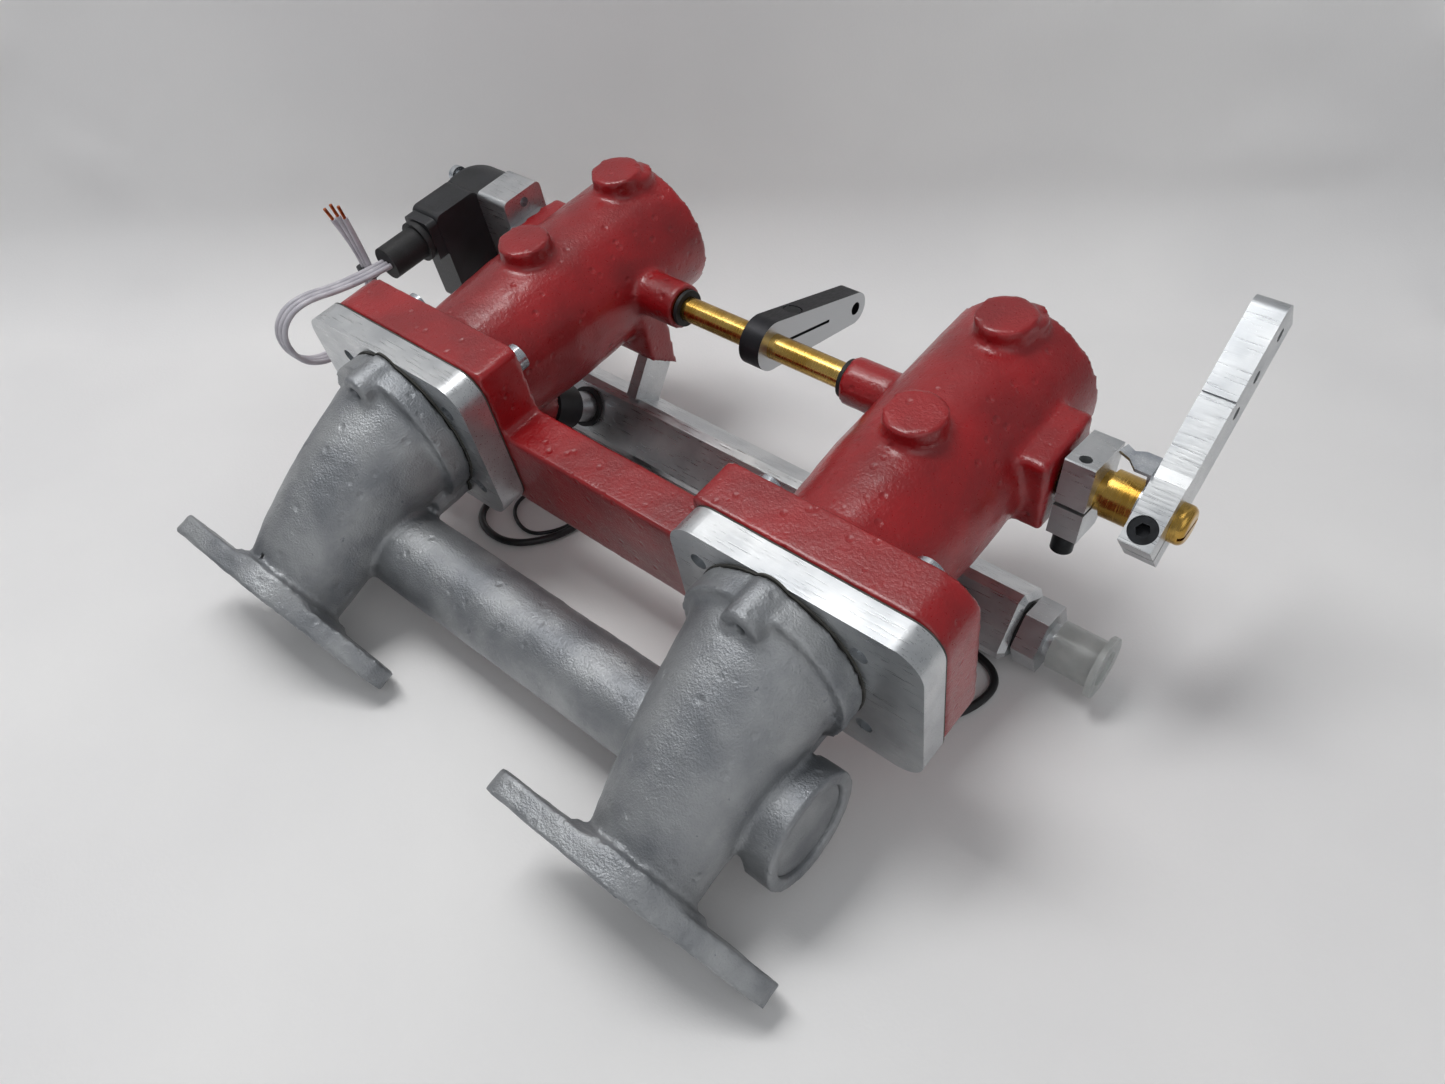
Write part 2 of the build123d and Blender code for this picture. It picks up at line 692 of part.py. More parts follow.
# ---- clamp block on the right end of the shaft ----
clamp_frame = turned(clamp_angle, shaft_y, 0)
with BuildPart() as clamp_block:
    with BuildSketch(side(clamp_frame, x=clamp_x)):
        with BuildLine():
            Polyline((clamp_front, clamp_top), (clamp_back, clamp_top), (clamp_back, clamp_bottom + 9),
                     (clamp_back - 6, clamp_bottom), (clamp_front, clamp_bottom), close=True)
        make_face()
        Circle(shaft_r + 0.01, mode=Mode.SUBTRACT)
        with Locations((clamp_front / 2, clamp_slit_z)):
            Rectangle(-clamp_front, 1.4, mode=Mode.SUBTRACT)
    extrude(amount=clamp_width)
    chamfer(clamp_block.edges().filter_by(GeomType.LINE).group_by(Axis.Z)[-1], 0.4)
    with BuildSketch(level(clamp_frame, x=clamp_x + clamp_width / 2, y=clamp_screw_y, z=clamp_top + 1)):
        Circle(clamp_screw_r + screw_gap)
    extrude(amount=-(clamp_top - clamp_bottom + 2), mode=Mode.SUBTRACT)
save("clamp_block", clamp_block, machined)

with BuildPart() as clamp_screw:
    with BuildSketch(level(clamp_frame, x=clamp_x + clamp_width / 2, y=clamp_screw_y, z=clamp_bottom)):
        Circle(clamp_screw_head_r)
    extrude(amount=-6.5)
    with BuildSketch(level(clamp_frame, x=clamp_x + clamp_width / 2, y=clamp_screw_y, z=clamp_bottom)):
        Circle(clamp_screw_r)
    extrude(amount=clamp_top - clamp_bottom - 6.0)
    with BuildSketch(level(clamp_frame, x=clamp_x + clamp_width / 2, y=clamp_screw_y, z=clamp_bottom - 6.5)):
        RegularPolygon(2.1, 6)
    extrude(amount=3.0, mode=Mode.SUBTRACT)
save("clamp_screw", clamp_screw, black)

# ---- spacer collar, tab washer and long lever ----
collar_start = clamp_x + clamp_width
with BuildPart() as spacer_collar:
    with BuildSketch(side(shaft_frame, x=collar_start)):
        Circle(collar_step_r)
        Circle(shaft_r + 0.01, mode=Mode.SUBTRACT)
    extrude(amount=collar_step)
    with BuildSketch(side(shaft_frame, x=collar_start + collar_step)):
        Circle(collar_r)
        Circle(shaft_r + 0.01, mode=Mode.SUBTRACT)
    extrude(amount=lever_x - washer_thickness - collar_start - collar_step)
save("spacer_collar", spacer_collar, brass_colour)

with BuildPart() as tab_washer:
    with BuildSketch(side(shaft_frame, x=lever_x - washer_thickness)):
        Circle(washer_r)
        with Locations((4.0, 8.0)):
            Rectangle(8.0, 12.0)
        Circle(shaft_r + 0.05, mode=Mode.SUBTRACT)
    extrude(amount=washer_thickness)
    with BuildSketch(level(shaft_frame, x=lever_x, y=4.0, z=14.0)):
        with BuildLine():
            Polyline((0, -4.0), (0, 4.0), (-5.0, 4.0), (-8.0, 2.5), (-11.0, 4.0), (-12.0, 0.5), (-8.0, -1.0),
                     (-5.0, -4.0), close=True)
        make_face()
    extrude(amount=-1.2)
save("tab_washer", tab_washer, zinc)

lever_frame = turned(lever_angle, shaft_y, 0)
with BuildPart() as long_lever:
    with BuildSketch(side(lever_frame, x=lever_x)) as lever_profile:
        with BuildLine():
            Polyline((-lever_tail, lever_head_z), (7.5, lever_head_z), (11.5, lever_face_z),
                     (lever_reach, lever_face_z), (lever_reach, -lever_back_z), (-lever_tail, -lever_back_z),
                     close=True)
        make_face()
        fillet(lever_profile.vertices().group_by(SortBy.DISTANCE)[-1], 5.0)
        Circle(shaft_r + 0.01, mode=Mode.SUBTRACT)
        with Locations((-lever_tail / 2, 0)):
            Rectangle(lever_tail, 1.2, mode=Mode.SUBTRACT)
        with Locations((lever_groove, lever_face_z)):
            Rectangle(1.6, 1.6, mode=Mode.SUBTRACT)
        with Locations(*[(reach, lever_hole_z) for reach in lever_holes]):
            Circle(lever_hole_r, mode=Mode.SUBTRACT)
    extrude(amount=lever_width)
    with BuildSketch(level(lever_frame, x=lever_x + lever_width / 2, y=-lever_screw_reach, z=lever_head_z)):
        Circle(lever_screw_head_r + 0.15)
    extrude(amount=-5.6, mode=Mode.SUBTRACT)
    with BuildSketch(level(lever_frame, x=lever_x + lever_width / 2, y=-lever_screw_reach, z=lever_head_z)):
        Circle(lever_screw_r + screw_gap)
    extrude(amount=-(lever_head_z + lever_back_z), mode=Mode.SUBTRACT)
save("long_lever", long_lever, machined)

with BuildPart() as lever_screw:
    with BuildSketch(level(lever_frame, x=lever_x + lever_width / 2, y=-lever_screw_reach, z=lever_head_z - 5.6)):
        Circle(lever_screw_head_r)
    extrude(amount=5.2)
    with BuildSketch(level(lever_frame, x=lever_x + lever_width / 2, y=-lever_screw_reach, z=lever_head_z - 5.6)):
        Circle(lever_screw_r)
    extrude(amount=-(lever_head_z + lever_back_z - 8.0))
    with BuildSketch(level(lever_frame, x=lever_x + lever_width / 2, y=-lever_screw_reach, z=lever_head_z - 0.4)):
        RegularPolygon(2.3, 6)
    extrude(amount=-3.0, mode=Mode.SUBTRACT)
save("lever_screw", lever_screw, black)

with BuildPart() as shaft_end_screw:
    with BuildSketch(side(shaft_frame, x=shaft_right_end)):
        Circle(end_head_r)
    extrude(amount=end_head_height)
    fillet(shaft_end_screw.edges().group_by(Axis.X)[-1], 2.2)
    with BuildSketch(side(shaft_frame, x=shaft_right_end)):
        Circle(end_screw_r)
    extrude(amount=-(end_screw_length - 1.0))
    with BuildSketch(side(shaft_frame, x=shaft_right_end + end_head_height)):
        Rectangle(2 * end_head_r, 1.3)
    extrude(amount=-1.4, mode=Mode.SUBTRACT)
save("shaft_end_screw", shaft_end_screw, brass_colour)

# ---- fuel rail, its posts, plug and inlet fitting ----
with BuildPart() as fuel_rail:
    with BuildSketch(side(rail_frame, x=-rail_half_length)) as rail_section:
        Rectangle(rail_depth, rail_height)
        chamfer(rail_section.vertices(), rail_chamfer)
    extrude(amount=2 * rail_half_length)
    chamfer(fuel_rail.faces().sort_by(Axis.X)[-1].edges(), 2.0)
    chamfer(fuel_rail.faces().sort_by(Axis.X)[0].edges(), 2.0)
    with BuildSketch(side(rail_frame, x=-rail_half_length)):
        Circle(rail_bore_r)
    extrude(amount=2 * rail_half_length, mode=Mode.SUBTRACT)
    for hand in sides:
        with BuildSketch(side(rail_frame, x=hand * rail_half_length)):
            Circle(rail_thread_r)
        extrude(amount=-hand * rail_thread_depth, mode=Mode.SUBTRACT)
        with BuildSketch(front(rail_frame, x=hand * port_x, y=-rail_depth / 2)):
            Circle(rail_cup_r)
        extrude(amount=-rail_cup_depth, mode=Mode.SUBTRACT)
        with BuildSketch(level(rail_frame, x=hand * post_x, y=post_front + post_width / 2, z=rail_height / 2)):
            Circle(post_stud_r + screw_gap)
        extrude(amount=-post_stud_bite, mode=Mode.SUBTRACT)
save("fuel_rail", fuel_rail, machined)

for hand, name in ((-1, "rail_post_left"), (1, "rail_post_right")):
    with BuildPart() as rail_post:
        with BuildSketch(level(rail_frame, x=hand * post_x, y=post_front + post_width / 2, z=rail_height / 2)):
            Rectangle(post_thickness, post_width)
            Circle(post_stud_r + screw_gap, mode=Mode.SUBTRACT)
        extrude(amount=post_top - rail_height / 2)
    save(name, rail_post, machined)

with BuildPart() as post_studs:
    for hand in sides:
        with BuildSketch(level(rail_frame, x=hand * post_x, y=post_front + post_width / 2,
                               z=rail_height / 2 - post_stud_bite + 0.5)):
            Circle(post_stud_r)
        extrude(amount=post_top - rail_height / 2 + 2 * post_stud_bite - 1.0)
save("post_studs", post_studs, zinc)

with BuildPart() as rail_end_plug:
    with BuildSketch(side(rail_frame, x=-rail_half_length)):
        Circle(rail_thread_r - screw_gap)
        RegularPolygon(4.0, 6, mode=Mode.SUBTRACT)
    extrude(amount=6.0)
    with BuildSketch(side(rail_frame, x=-rail_half_length + 6.0)):
        Circle(rail_thread_r - screw_gap)
    extrude(amount=rail_thread_depth - 6.5)
save("rail_end_plug", rail_end_plug, machined)

hex_start = rail_half_length + seal_thickness
with BuildPart() as rail_fitting:
    with BuildSketch(side(rail_frame, x=rail_half_length)):
        Circle(rail_thread_r - screw_gap)
    extrude(amount=-(rail_thread_depth - 1.0))
    with BuildSketch(side(rail_frame, x=rail_half_length)):
        Circle(rail_thread_r - screw_gap)
    extrude(amount=seal_thickness)
    with BuildSketch(side(rail_frame, x=hex_start)) as hex_outline:
        RegularPolygon(fitting_flats / 2, 6, major_radius=False, rotation=fitting_turn)
    extrude(amount=fitting_hex_length)
    with BuildSketch(side(rail_frame, x=hex_start + fitting_hex_length)):
        Circle(nipple_neck_r)
    extrude(amount=2.0)
    with BuildSketch(side(rail_frame, x=hex_start + fitting_hex_length + 2.0)):
        Circle(nipple_r)
    extrude(amount=nipple_length)
    chamfer(rail_fitting.faces().sort_by(Axis.X)[-1].edges(), 2.5)
    with BuildSketch(side(rail_frame, x=hex_start + fitting_hex_length + 2.0 + nipple_length)):
        Circle(fitting_bore_r)
    extrude(amount=-(nipple_length + 2.0 + fitting_hex_length + seal_thickness + rail_thread_depth),
            mode=Mode.SUBTRACT)
save("rail_fitting", rail_fitting, machined)

with BuildPart() as fitting_seal:
    with BuildSketch(side(rail_frame, x=rail_half_length)):
        Circle(rail_thread_r + 1.6)
        Circle(rail_thread_r + 0.02, mode=Mode.SUBTRACT)
    extrude(amount=seal_thickness)
save("fitting_seal", fitting_seal, black)

cap_start = hex_start + fitting_hex_length + 2.5
with BuildPart() as shipping_cap:
    with BuildSketch(side(rail_frame, x=cap_start)):
        Circle(nipple_r + cap_wall)
    extrude(amount=cap_length)
    with BuildSketch(side(rail_frame, x=cap_start + cap_length - cap_rim_width)):
        Circle(cap_rim_r)
    extrude(amount=cap_rim_width)
    with BuildSketch(side(rail_frame, x=cap_start)):
        Circle(nipple_r + 0.02)
    extrude(amount=hex_start + fitting_hex_length + 2.0 + nipple_length - cap_start + 0.5, mode=Mode.SUBTRACT)
    with BuildSketch(side(rail_frame, x=cap_start + cap_length)):
        Circle(nipple_r - 0.6)
    extrude(amount=-(cap_length - (hex_start + fitting_hex_length + 2.0 + nipple_length - cap_start + 0.5) - 1.2),
            mode=Mode.SUBTRACT)
save("shipping_cap", shipping_cap, (0.85, 0.86, 0.86))

# ---- injectors between the rail and the tubes ----
for hand, tag in ((-1, "left"), (1, "right")):
    injector_line = front(rail_frame, x=hand * port_x, y=-rail_depth / 2)
    with BuildPart() as injector:
        for start, stop, radius in ((-7.0, -4.6, 6.4), (-4.6, -2.2, 4.6), (-2.2, 2.0, 6.4), (2.0, 12.0, 6.5),
                                    (12.0, 27.0, 7.6), (27.0, 32.0, 6.2), (32.0, 34.4, 4.6), (34.4, 40.0, 6.2)):
            with BuildSketch(injector_line.offset(start)):
                Circle(radius)
            extrude(amount=stop - start)
    save(f"injector_{tag}", injector, machined)
    with BuildPart() as connector:
        with BuildSketch(injector_line.offset(13.0)):
            with Locations((0, -connector_reach / 2 - 2.0)):
                RectangleRounded(12.0, connector_reach - 4.0, 1.5)
            Circle(9.4)
            Circle(7.62, mode=Mode.SUBTRACT)
        extrude(amount=13.0)
    save(f"injector_connector_{tag}", connector, black)

with BuildPart() as injector_seals:
    for hand in sides:
        injector_line = front(rail_frame, x=hand * port_x, y=-rail_depth / 2)
        for start, outer in ((-4.5, rail_cup_r - 0.02), (32.1, injector_seat_r - 0.02)):
            with BuildSketch(injector_line.offset(start)):
                Circle(outer)
                Circle(4.62, mode=Mode.SUBTRACT)
            extrude(amount=2.2)
        with BuildSketch(injector_line):
            Circle(8.6)
            Circle(6.55, mode=Mode.SUBTRACT)
        extrude(amount=1.6)
save("injector_seals", injector_seals, black)

# ---- position sensor on the left end of the shaft ----
bracket_x = -outer_boss_end - sensor_spacer_width
with BuildPart() as sensor_spacer:
    with BuildSketch(side(shaft_frame, x=-outer_boss_end)):
        RectangleRounded(20.0, 24.0, 3.0)
        Circle(seal_r + 0.1, mode=Mode.SUBTRACT)
        with Locations(*bracket_screw_spots):
            Circle(bracket_screw_r + screw_gap, mode=Mode.SUBTRACT)
    extrude(amount=-sensor_spacer_width)
save("sensor_spacer", sensor_spacer, machined)

with BuildPart() as sensor_bracket:
    with BuildSketch(side(shaft_frame, x=bracket_x, y=1.6)) as bracket_outline:
        RectangleRounded(20.0, 45.2, 2.5)
    extrude(amount=-bracket_width)
    with BuildSketch(side(shaft_frame, x=bracket_x)):
        Circle(shaft_r + 0.6)
        with Locations(*sensor_screw_spots):
            Circle(sensor_screw_r + screw_gap)
        with Locations(*bracket_screw_spots):
            Circle(bracket_screw_r + screw_gap)
    extrude(amount=-bracket_width, mode=Mode.SUBTRACT)
    with BuildSketch(side(shaft_frame, x=bracket_x - bracket_width)):
        with Locations(*bracket_screw_spots):
            Circle(bracket_screw_r + 1.7)
    extrude(amount=4.2, mode=Mode.SUBTRACT)
save("sensor_bracket", sensor_bracket, machined)

with BuildPart() as bracket_screws:
    with BuildSketch(side(shaft_frame, x=bracket_x - bracket_width + 4.2)):
        with Locations(*bracket_screw_spots):
            Circle(bracket_screw_r + 1.6)
    extrude(amount=-4.0)
    with BuildSketch(side(shaft_frame, x=bracket_x - bracket_width + 4.2)):
        with Locations(*bracket_screw_spots):
            Circle(bracket_screw_r)
    extrude(amount=bracket_width + sensor_spacer_width + bracket_screw_bite - 4.7)
save("bracket_screws", bracket_screws, zinc)

sensor_x = bracket_x - bracket_width
with BuildPart() as sensor_body:
    with BuildSketch(side(shaft_frame, x=sensor_x)):
        Circle(sensor_r)
    extrude(amount=-sensor_length)
    fillet(sensor_body.edges().group_by(Axis.X)[0], 5.0)
    with BuildSketch(side(shaft_frame, x=sensor_x)):
        with Locations((-19.0, 1.5)):
            RectangleRounded(22.0, 45.0, 3.0)
    extrude(amount=-16.0)
    with BuildSketch(side(shaft_frame, x=sensor_x)):
        Circle(rotor_r + rotor_gap)
    extrude(amount=-(sensor_length - 4.0), mode=Mode.SUBTRACT)
    with BuildSketch(side(shaft_frame, x=sensor_x)):
        with Locations(*sensor_screw_spots):
            Circle(sensor_screw_r + screw_gap)
    extrude(amount=-sensor_length, mode=Mode.SUBTRACT)
    with BuildSketch(front(bore_frame, x=sensor_x - 8.0, y=shaft_y - 30.0, z=boot_z)):
        Rectangle(12.5, 13.5)
    extrude(amount=-8.0, mode=Mode.SUBTRACT)
save("sensor_body", sensor_body, black)

with BuildPart() as sensor_screws:
    with BuildSketch(side(shaft_frame, x=sensor_x - sensor_length)):
        with Locations(*sensor_screw_spots):
            Circle(sensor_screw_r + 1.8)
    extrude(amount=-2.6)
    with BuildSketch(side(shaft_frame, x=sensor_x - sensor_length)):
        with Locations(*sensor_screw_spots):
            Circle(sensor_screw_r)
    extrude(amount=sensor_length + bracket_width - 4.0)
save("sensor_screws", sensor_screws, zinc)

with BuildPart() as sensor_rotor:
    with BuildSketch(side(shaft_frame, x=sensor_x - 0.4)):
        Circle(rotor_r)
    extrude(amount=-(sensor_length - 5.0))
    with BuildSketch(side(shaft_frame, x=sensor_x)):
        Circle(shaft_r + 0.01)
    extrude(amount=shaft_left_end - sensor_x, mode=Mode.SUBTRACT)
save("sensor_rotor", sensor_rotor, black)

with BuildPart() as sensor_plug:
    with BuildSketch(front(bore_frame, x=sensor_x - 8.0, y=shaft_y - 30.0, z=boot_z)) as plug_face:
        RectangleRounded(15.5, 17.5, 2.5)
    extrude(amount=plug_length)
    with BuildSketch(front(bore_frame, x=sensor_x - 8.0, y=shaft_y - 30.0, z=boot_z)):
        Rectangle(12.4, 13.4)
    extrude(amount=-7.5)
save("sensor_plug", sensor_plug, black)

boot_start = shaft_y - 30.0 - plug_length
with BuildPart() as plug_boot:
    with BuildSketch(front(bore_frame, x=sensor_x - 8.0, y=boot_start, z=boot_z)):
        Circle(7.6)
    extrude(amount=1.2)
    with BuildSketch(front(bore_frame, x=sensor_x - 8.0, y=boot_start - 1.2, z=boot_z)):
        Circle(8.6)
    extrude(amount=1.8)
    with BuildSketch(front(bore_frame, x=sensor_x - 8.0, y=boot_start - 3.0, z=boot_z)):
        Circle(boot_r)
    extrude(amount=boot_length - 3.0)
save("plug_boot", plug_boot, black)


# ---- free wires and what is on them ----
def cord_tube(points, diameter):
    """Round tube along straight runs, each corner rounded as far as its runs allow."""
    vectors = [Vector(*point) for point in points]
    radii = []
    for before, here, after in zip(vectors, vectors[1:], vectors[2:]):
        turn = (here - before).get_angle(after - here)
        shorter = min((here - before).length, (after - here).length)
        radii.append(0.45 * shorter / math.tan(math.radians(turn) / 2))
    print("radii", [round(radius, 1) for radius in radii])
    limit = [min(radius, 60.0) for radius in radii]
    with BuildPart() as tube:
        with BuildLine() as route:
            FilletPolyline(*vectors, radius=limit)
        start = Plane(origin=vectors[0], z_dir=vectors[1] - vectors[0])
        with BuildSketch(start):
            Circle(diameter / 2)
        sweep(path=route.wires()[0])
    area = math.pi * diameter ** 2 / 4
    print("volume", round(tube.part.volume, 1), "section x length", round(area * route.wires()[0].length, 1))
    return tube


for index, tag in ((0, "a"), (1, "b"), (2, "c")):
    offset = (index - 1) * sensor_wire_pitch
    route_side = sensor_wire_side + [sensor_wire_tips[index]]
    points = [bore_frame.from_local_coords((sensor_x - 8.0 + shift + offset, y, z))
              for shift, (y, z) in zip(sensor_wire_shift, route_side)]
    sensor_wire = cord_tube(points, sensor_wire_d)
    save(f"sensor_wire_{tag}", sensor_wire, (0.62, 0.61, 0.63))

with BuildPart() as bare_tips:
    for index in range(3):
        offset = (index - 1) * sensor_wire_pitch
        x = sensor_x - 8.0 + sensor_wire_shift[-1] + offset
        tip = Vector(*bore_frame.from_local_coords((x, *sensor_wire_tips[index])))
        below = Vector(*bore_frame.from_local_coords((x, *sensor_wire_side[-1])))
        with BuildSketch(Plane(origin=tip, z_dir=tip - below)):
            Circle(copper_d / 2)
        extrude(amount=copper_length)
save("bare_tips", bare_tips, (0.75, 0.42, 0.25))

tie_x = sensor_x - 8.0 + sensor_wire_shift[-2]
with BuildPart() as wire_tie:
    with BuildSketch(level(bore_frame, x=tie_x, y=30.2, z=tie_z)):
        RectangleRounded(10.6, 5.0, 1.6)
        with Locations(*[((index - 1) * sensor_wire_pitch, 0) for index in range(3)]):
            Circle(sensor_wire_d / 2, mode=Mode.SUBTRACT)
    extrude(amount=2.6)
save("wire_tie", wire_tie, (0.5, 0.5, 0.52))

connector_line = front(rail_frame, y=-rail_depth / 2).offset(19.5)
for name, hand, exit_key, route, diameter in (
    ("injector_lead_left", -1, "left", lead_left, lead_d),
    ("injector_wire_left", -1, "thin", thin_left, thin_wire_d),
    ("injector_lead_right", 1, "right", lead_right, lead_d),
):
    exit_point = connector_line.from_local_coords((hand * port_x + lead_exit_dx[exit_key], -connector_reach, 0))
    lead = cord_tube([exit_point] + route, diameter)
    save(name, lead, black)

with BuildPart() as lead_plug_left:
    with BuildSketch(Plane.XY) as plug_outline:
        with Locations((-48.3, 32.0)):
            Rectangle(13.0, 16.0)
    extrude(amount=lead_plug_height)
save("lead_plug_left", lead_plug_left, black)

with BuildPart() as lead_plug_right:
    with BuildSketch(Plane.XY):
        with Locations((98.5, 39.4)):
            Rectangle(16.0, 8.2)
    extrude(amount=lead_plug_height)
save("lead_plug_right", lead_plug_right, black)
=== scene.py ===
# %% [markdown]
# Twin-throttle intake manifold. The red part is a painted casting that holds two throttle bores on one shaft,
# and the silver part is a sand casting that joins it to the engine. The CAD model is the frame: every piece here
# is in its place already, in metres. This lesson gives each piece its finish, and makes the two castings again
# with the slightly uneven skin that sand leaves, because a CAD surface is too perfect for a casting.

# %% Load the frame
import json
import math

import bmesh
import bpy
import numpy as np
from mathutils import Matrix, Vector


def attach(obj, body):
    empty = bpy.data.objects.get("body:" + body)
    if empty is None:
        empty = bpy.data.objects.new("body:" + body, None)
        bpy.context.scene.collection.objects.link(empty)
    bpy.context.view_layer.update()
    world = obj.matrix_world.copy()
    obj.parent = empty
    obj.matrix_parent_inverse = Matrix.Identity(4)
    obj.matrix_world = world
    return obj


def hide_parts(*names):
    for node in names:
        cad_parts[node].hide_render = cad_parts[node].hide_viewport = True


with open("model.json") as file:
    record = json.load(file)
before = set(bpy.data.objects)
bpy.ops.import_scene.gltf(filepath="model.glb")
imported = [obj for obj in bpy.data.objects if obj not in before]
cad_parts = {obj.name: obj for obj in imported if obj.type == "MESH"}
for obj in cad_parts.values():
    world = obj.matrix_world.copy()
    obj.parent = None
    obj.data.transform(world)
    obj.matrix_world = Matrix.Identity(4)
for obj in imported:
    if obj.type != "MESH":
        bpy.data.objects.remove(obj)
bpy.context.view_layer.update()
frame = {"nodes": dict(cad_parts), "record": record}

# %% [markdown]
# The camera stands above the engine side and looks down across the part. A wide lens close by gives strong
# perspective, as when the part is held near: the near engine flange looks much bigger than the far mouths.
# Three unit directions say how the camera is turned, and they are the columns of its matrix.

# %% Camera
camera_data = bpy.data.cameras.new("camera")
camera_data.lens = 26.604
camera_data.sensor_width = 36.0
camera_data.clip_start = 0.01
camera_data.clip_end = 20.0
camera = bpy.data.objects.new("camera", camera_data)
bpy.context.scene.collection.objects.link(camera)
camera_right = (0.75900837, 0.65004204, -0.03676466)
camera_up = (-0.431281, 0.54427281, 0.71955806)
camera_back = (0.487753, -0.5302947, 0.6934584)
camera_place = (0.21394678, -0.19609699, 0.29622571)
camera_rows = [
    [camera_right[i], camera_up[i], camera_back[i], camera_place[i]] for i in range(3)
]
camera.matrix_world = Matrix(camera_rows + [[0.0, 0.0, 0.0, 1.0]])
bpy.context.scene.camera = camera
print("camera at", [round(v, 3) for v in camera.location])

# %% [markdown]
# The bores lean: the part rests on its engine flange and its fuel rail, so the axis of the throttle bores is
# turned by 9.2 degrees. Lengths along the bores are easier to think about in the bore's own directions, and one
# function carries such a point to its place on the table.

# %% From the bores' directions to the table
rest_tilt = math.radians(9.2)
bore_start = np.array([4.45, -27.72, 64.37])


def bore_point(x, y, z):
    """A point in mm along the shaft, the bores and their normal, turned by the tilt and moved, in metres."""
    tilted_y = y * math.cos(rest_tilt) - z * math.sin(rest_tilt)
    tilted_z = y * math.sin(rest_tilt) + z * math.cos(rest_tilt)
    return (bore_start + np.array([x, tilted_y, tilted_z])) / 1000.0


# %% [markdown]
# The loose wires are soft PVC-covered copper. Three pale wires leave the sensor plug's boot, turn under it and
# come back up in one bundle, held by a tie, to bare copper tips. Black leads from the two injectors lie on the
# table. Each is one smooth NURBS line guided by a few points, given a round section, as a real wire has no
# corners. The section is the bevel depth times each point's radius. That radius is a millimetre here, because
# Blender adds it to the curve's bounding box, and its usual value of 1 would make the box metres wide.

# %% Wires and leads


point_radius = 0.001


def lay_wire(name, points, diameter, node):
    """A smooth line that has the points as its control points, with a round section of that diameter."""
    curve = bpy.data.curves.new(name, "CURVE")
    curve.dimensions = "3D"
    spline = curve.splines.new("NURBS")
    spline.points.add(len(points) - 1)
    for point, place in zip(spline.points, points):
        point.co = (*place, 1.0)
        point.radius = point_radius
    spline.order_u = 3
    spline.use_endpoint_u = True
    spline.resolution_u = 12
    curve.bevel_depth = diameter / 2 / point_radius
    curve.bevel_resolution = 4
    curve.use_fill_caps = True
    wire = bpy.data.objects.new(name, curve)
    bpy.context.scene.collection.objects.link(wire)
    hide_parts(node)
    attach(wire, "manifold")
    return wire


boot_end = -150.0
wire_pitch = 2.6
bundle_line = [
    (35.0, 14.5),
    (17.0, 16.0),
    (-5.0, 22.0),
    (-16.0, 13.0),
    (-14.0, -4.0),
    (0.0, -12.0),
    (16.0, -8.0),
    (30.0, 4.0),
    (30.6, 21.5),
]
bundle_shift = [0.0, -1.0, -4.0, -7.0, -8.0, -8.2, -8.3, -8.4, -8.4, -8.4]
bundle_tips = {"a": (27.2, 36.5), "b": (28.5, 38.0), "c": (29.6, 37.2)}
wires = {}
for index, letter in enumerate("abc"):
    line = [*bundle_line, bundle_tips[letter]]
    route = [
        bore_point(boot_end + shift + (index - 1) * wire_pitch, y, z)
        for shift, (y, z) in zip(bundle_shift, line)
    ]
    wires[f"sensor_wire_{letter}"] = lay_wire(
        f"pale_wire_{letter}",
        route,
        0.0022,
        f"sensor_wire_{letter}",
    )

lead_routes = {
    "injector_lead_left": (
        [
            tuple(bore_point(-87.45, 36.5, -54.91) * 1000.0),
            (-83.0, 8.5, 1.6),
            (-88.0, -10.0, 1.6),
            (-80.0, -24.5, 1.6),
            (-60.0, -26.0, 1.6),
            (-47.5, -11.0, 1.6),
            (-45.5, 7.5, 1.6),
            (-45.5, 24.0, 1.6),
        ],
        0.003,
        0.1219,
        ["lead_plug_left"],
    ),
    "injector_wire_left": (
        [
            tuple(bore_point(-82.45, 36.5, -54.91) * 1000.0),
            (-78.0, 8.1, 0.9),
            (-77.0, -9.6, 0.9),
            (-59.5, -16.8, 0.9),
            (-50.6, -7.5, 0.9),
            (-48.6, 4.5, 0.9),
            (-51.0, 14.4, 0.9),
            (-51.0, 24.0, 0.9),
        ],
        0.0016,
        0.0940,
        ["lead_plug_left"],
    ),
    "injector_lead_right": (
        [
            tuple(bore_point(85.0, 36.5, -54.91) * 1000.0),
            (89.45, 8.5, 1.6),
            (103.0, -3.0, 1.6),
            (118.0, 5.5, 1.6),
            (126.5, 21.0, 1.6),
            (127.5, 35.0, 1.6),
            (118.0, 42.0, 1.6),
            (106.5, 42.0, 1.6),
        ],
        0.003,
        0.1010,
        ["lead_plug_right"],
    ),
}
for node, (route, diameter, length, ends) in lead_routes.items():
    route_m = [tuple(v / 1000.0 for v in place) for place in route]
    wires[node] = lay_wire(
        node + "_cable", route_m, diameter, node
    )
print("wires:", sorted(wires))

# %% [markdown]
# The part lies on a white cotton sheet that hangs behind it and runs forward under it. One grid makes it: the
# distance from the fold says whether a point is on the floor, in the bend or on the hanging side. Soft creases
# are a few long waves, faded out under the part, so that it rests on flat cloth.

# %% Cloth floor and backdrop
fold_along = np.array([0.7648, 0.6443])
fold_away = np.array([-0.6443, 0.7648])
fold_distance = 0.172
bend_radius = 0.05
cloth_columns = 400
cloth_rows = 300


def waves(points, lengths, seed, count=10):
    """The mean of sine waves in seeded directions, whose lengths spread evenly over the given range."""
    chance = np.random.default_rng(seed)
    total = np.zeros(len(points))
    for length in np.linspace(lengths[0], lengths[1], count):
        direction = chance.normal(size=points.shape[1])
        direction /= np.linalg.norm(direction)
        phase = chance.uniform(0.0, 2.0 * np.pi)
        total += np.sin(points @ direction * (2.0 * np.pi / length) + phase)
    return total / math.sqrt(count)


